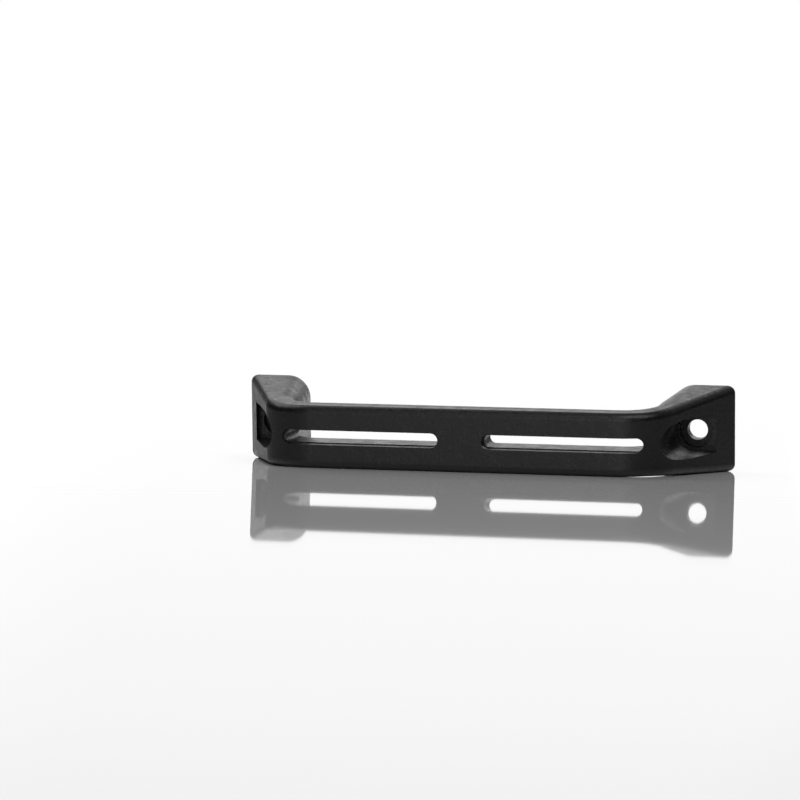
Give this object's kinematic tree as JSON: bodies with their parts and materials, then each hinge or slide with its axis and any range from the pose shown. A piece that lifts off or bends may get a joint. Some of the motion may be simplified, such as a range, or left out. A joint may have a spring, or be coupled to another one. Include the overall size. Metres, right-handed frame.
{
  "type": "bridge pull handle",
  "caption": "Moulded bridge pull handle with flared slanted legs, a slotted grip and sunk screw pockets in the feet.",
  "frame": {"origin": "on the mounting plane, midway between the two screw holes", "axes": "+X along the handle, +Y out of the feet towards the surface that it is screwed to, +Z across the width; the outer face of the grip looks along -Y"},
  "size_m": [0.2086, 0.057, 0.0358],
  "materials": {
    "black_nylon": "fine matt moulded texture"
  },
  "bodies": {
    "root": {"handle": "black_nylon"}
  },
  "joints": []
}
